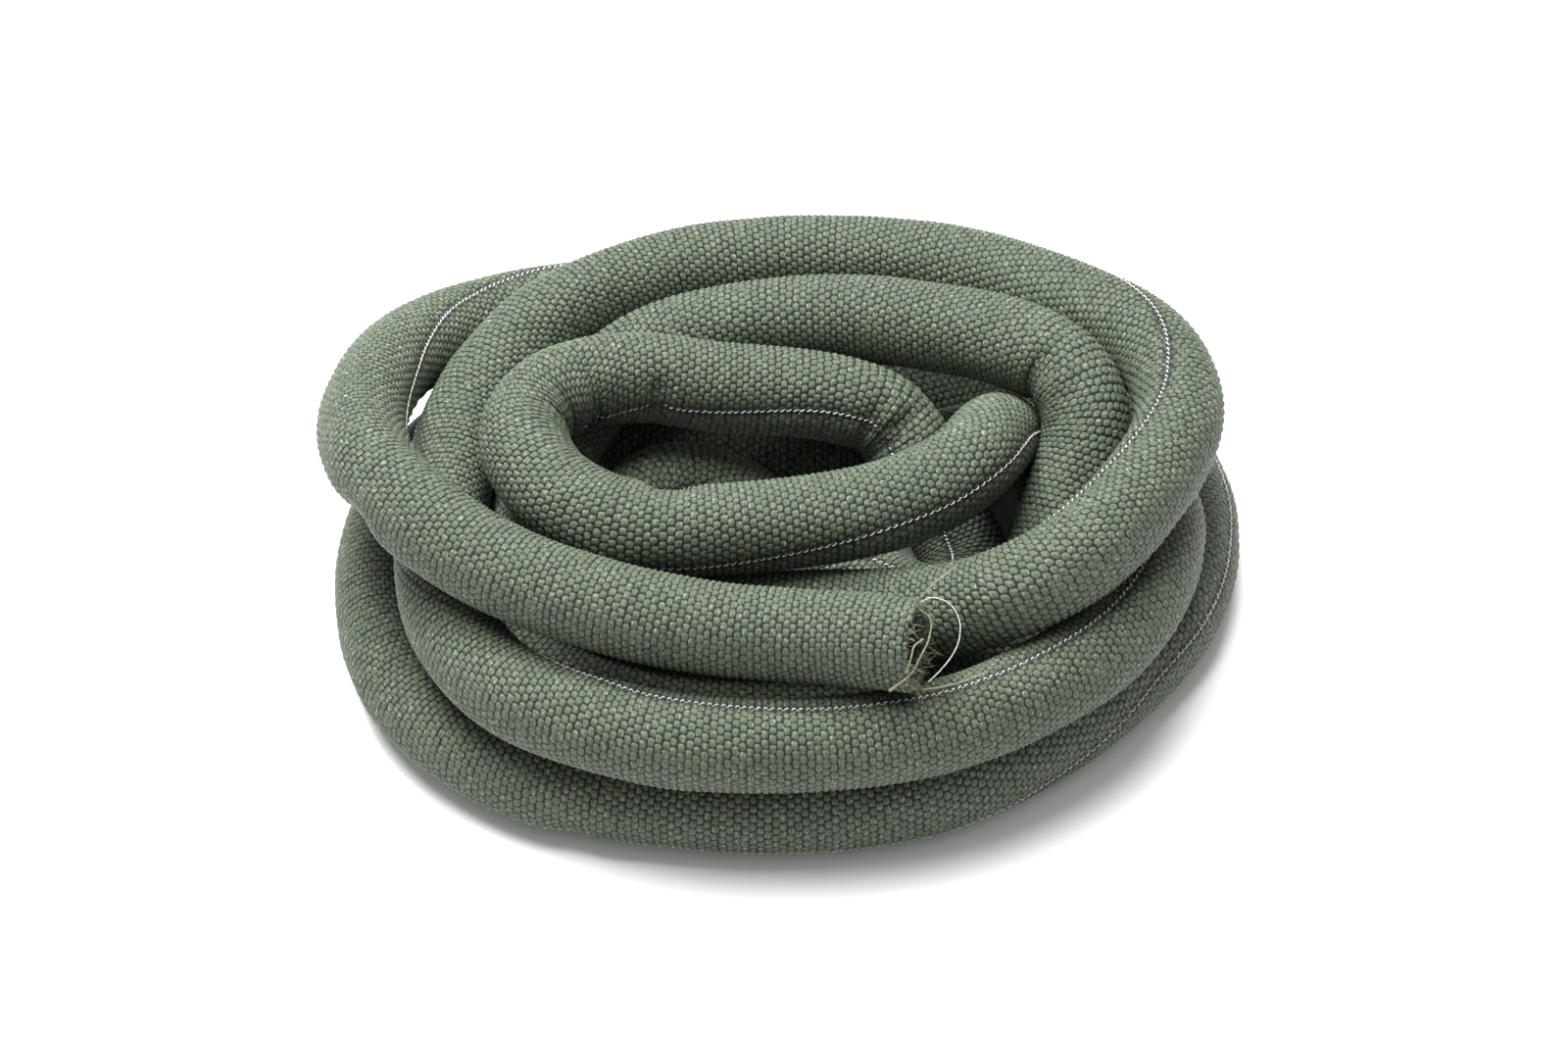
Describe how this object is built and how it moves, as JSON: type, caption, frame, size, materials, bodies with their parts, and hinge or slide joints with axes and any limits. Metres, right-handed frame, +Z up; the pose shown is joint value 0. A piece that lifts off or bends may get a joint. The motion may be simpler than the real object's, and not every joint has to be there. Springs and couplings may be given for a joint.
{
  "type": "soaker hose",
  "caption": "Woven textile soaker hose lying in a loose heap of turns, one cut end open on top, with a lock thread along its seam and frayed yarns at the cut.",
  "frame": {"origin": "On the ground under the middle of the heap's bounding box.", "axes": "+Z is up. The heap is longest along X. The open cut end is at the front, low Y, on top, and faces +X."},
  "size_m": [0.2277, 0.1957, 0.0688],
  "materials": {
    "olive_textile": "coarse plain weave of dull olive-green yarn",
    "olive_yarn": "dull spun yarn, a little fuzzy",
    "clear_nylon": "clear to milky monofilament"
  },
  "bodies": {
    "root": {"woven_jacket": "olive_textile", "lock_thread": "clear_nylon", "lock_thread_tail": "clear_nylon", "frayed_yarn_long": "olive_yarn", "frayed_yarn_near": "olive_yarn", "frayed_yarn_low": "olive_yarn", "frayed_yarn_upright": "olive_yarn"}
  },
  "joints": []
}
